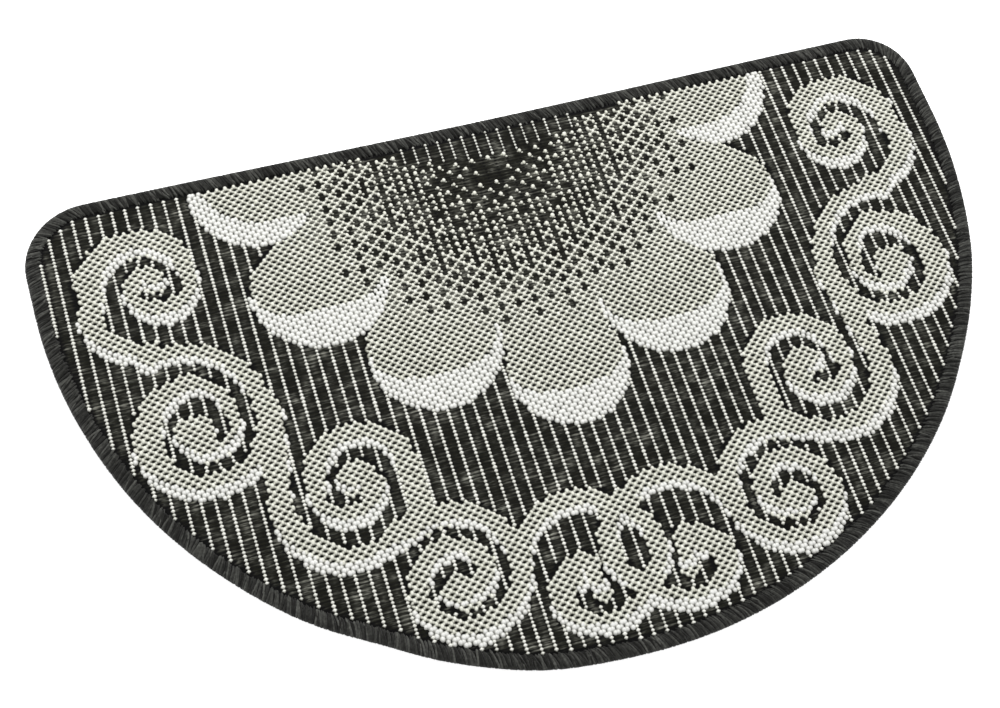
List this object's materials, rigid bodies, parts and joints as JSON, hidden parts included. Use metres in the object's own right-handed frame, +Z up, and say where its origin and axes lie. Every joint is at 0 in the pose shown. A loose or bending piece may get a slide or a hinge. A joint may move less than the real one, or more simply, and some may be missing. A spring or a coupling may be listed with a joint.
{
  "type": "half round doormat",
  "caption": "Flat half-round woven doormat with a whipped yarn edge, straight along one side and round along the other.",
  "frame": {"origin": "on the floor, below the middle of the mat's bounding box", "axes": "+X along the straight edge, +Y from the round edge to the straight edge, +Z up out of the pattern side"},
  "size_m": [0.799, 0.4902, 0.0064],
  "materials": {
    "woven_yarn": "matt woven charcoal, beige and white yarn",
    "edging_yarn": "matt charcoal whipping yarn"
  },
  "bodies": {
    "root": {"woven_field": "woven_yarn", "overlocked_edge": "edging_yarn"}
  },
  "joints": []
}
